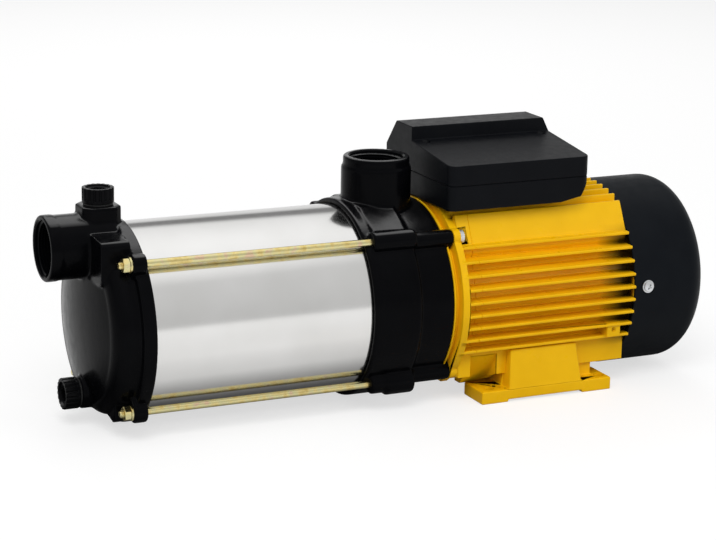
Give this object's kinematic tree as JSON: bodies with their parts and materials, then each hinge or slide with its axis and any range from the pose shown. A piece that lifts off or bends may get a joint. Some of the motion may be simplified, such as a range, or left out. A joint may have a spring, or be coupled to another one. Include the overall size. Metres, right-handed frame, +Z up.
{
  "type": "horizontal multistage pump",
  "caption": "Close-coupled horizontal multistage pump: threaded suction and discharge ports, stainless sleeve held by tie rods, finned motor on a bolted foot.",
  "frame": {"origin": "centre of the four foot holes on the face the pump stands on", "axes": "+X along the shaft from the suction end to the motor fan, +Z up through the discharge port"},
  "size_m": [0.5358, 0.1582, 0.209],
  "materials": {
    "black_enamel": "gloss black enamel over grey iron castings",
    "yellow_enamel": "gloss yellow enamel over die-cast aluminium",
    "stainless": "polished stainless steel",
    "gold_zinc": "yellow-passivated zinc plating",
    "bright_zinc": "bright zinc plating",
    "bearing_steel": "ground bearing steel",
    "laminations": "stacked electrical sheet",
    "cast_aluminium": "die-cast",
    "copper": "lacquered copper wire",
    "stage_resin": "glass-filled resin",
    "ring_white": "low-friction ring",
    "ceramic": "lapped ceramic",
    "carbon": "carbon graphite",
    "rubber": "moulded rubber",
    "plug_black": "satin moulded plastic",
    "fan_plastic": "moulded plastic",
    "cover_plastic": "satin black plastic",
    "box_plastic": "fine-textured black plastic",
    "gland_plastic": "moulded nylon",
    "block_resin": "moulded terminal resin",
    "can_plastic": "white plastic can"
  },
  "bodies": {
    "root": {"suction_casing": "black_enamel", "outer_sleeve": "stainless", "sleeve_gaskets": "rubber", "tie_rods": "gold_zinc", "tie_rod_nuts": "gold_zinc", "tie_rod_washers": "gold_zinc", "inlet_plate": "stage_resin", "stage_casing_1": "stage_resin", "stage_casing_2": "stage_resin", "stage_casing_3": "stage_resin", "stage_casing_4": "stage_resin", "stage_casing_5": "stage_resin", "neck_rings": "ring_white", "discharge_casing": "black_enamel", "seal_seat": "ceramic", "motor_bolts": "bright_zinc", "drive_end_shield": "yellow_enamel", "drive_bearing_outer": "bearing_steel", "rear_bearing_outer": "bearing_steel", "preload_washer": "bearing_steel", "stator_housing": "yellow_enamel", "stator_core": "laminations", "stator_windings": "copper", "rear_end_shield": "yellow_enamel", "through_bolts": "bright_zinc", "fan_cover": "cover_plastic", "fan_cover_screws": "bright_zinc", "motor_foot": "yellow_enamel", "foot_screws": "bright_zinc", "terminal_box_base": "box_plastic", "terminal_box_lid": "box_plastic", "lid_screws": "bright_zinc", "terminal_block": "block_resin", "capacitor": "can_plastic", "cable_gland": "gland_plastic"},
    "rotor": {"shaft": "stainless", "impeller_1": "stage_resin", "impeller_2": "stage_resin", "impeller_3": "stage_resin", "impeller_4": "stage_resin", "impeller_5": "stage_resin", "impeller_spacers": "stainless", "impeller_nut": "stainless", "seal_face": "carbon", "seal_bellows": "rubber", "deflector_ring": "rubber", "drive_bearing_inner": "bearing_steel", "rear_bearing_inner": "bearing_steel", "rotor_core": "laminations", "rotor_cage": "cast_aluminium", "cooling_fan": "fan_plastic"},
    "drive_ball_cage": {"drive_bearing_balls": "bearing_steel"},
    "rear_ball_cage": {"rear_bearing_balls": "bearing_steel"},
    "filler_seal": {"filler_plug_seal": "rubber"},
    "filler_plug": {"filler_plug": "plug_black"},
    "drain_seal": {"drain_plug_seal": "rubber"},
    "drain_plug": {"drain_plug": "plug_black"}
  },
  "joints": [
    {"name": "shaft_spin", "type": "hinge", "parent": "root", "child": "rotor", "pos_m": [0, 0, 0.08], "axis": [1, 0, 0], "continuous": true},
    {"name": "drive_cage_spin", "type": "hinge", "parent": "root", "child": "drive_ball_cage", "pos_m": [-0.073, 0, 0.08], "axis": [1, 0, 0], "continuous": true},
    {"name": "rear_cage_spin", "type": "hinge", "parent": "root", "child": "rear_ball_cage", "pos_m": [0.068, 0, 0.08], "axis": [1, 0, 0], "continuous": true},
    {"name": "filler_plug_lift", "type": "slide", "parent": "root", "child": "filler_seal", "axis": [0, 0, 1], "range_m": [0, 0.01337]},
    {"name": "filler_plug_turn", "type": "hinge", "parent": "filler_seal", "child": "filler_plug", "pos_m": [-0.35, 0, 0.17], "axis": [0, 0, 1], "range_deg": [0, 3600]},
    {"name": "drain_plug_lift", "type": "slide", "parent": "root", "child": "drain_seal", "axis": [-1, 0, 0], "range_m": [0, 0.01337]},
    {"name": "drain_plug_turn", "type": "hinge", "parent": "drain_seal", "child": "drain_plug", "pos_m": [-0.367, 0, 0.026], "axis": [-1, 0, 0], "range_deg": [0, 3600]}
  ],
  "couplings": [
    {"joint": "drive_cage_spin", "follows": "shaft_spin", "ratio": 0.38209},
    {"joint": "rear_cage_spin", "follows": "shaft_spin", "ratio": 0.3807},
    {"joint": "filler_plug_lift", "follows": "filler_plug_turn", "m_per_rad": 0.00021279},
    {"joint": "drain_plug_lift", "follows": "drain_plug_turn", "m_per_rad": 0.00021279}
  ]
}
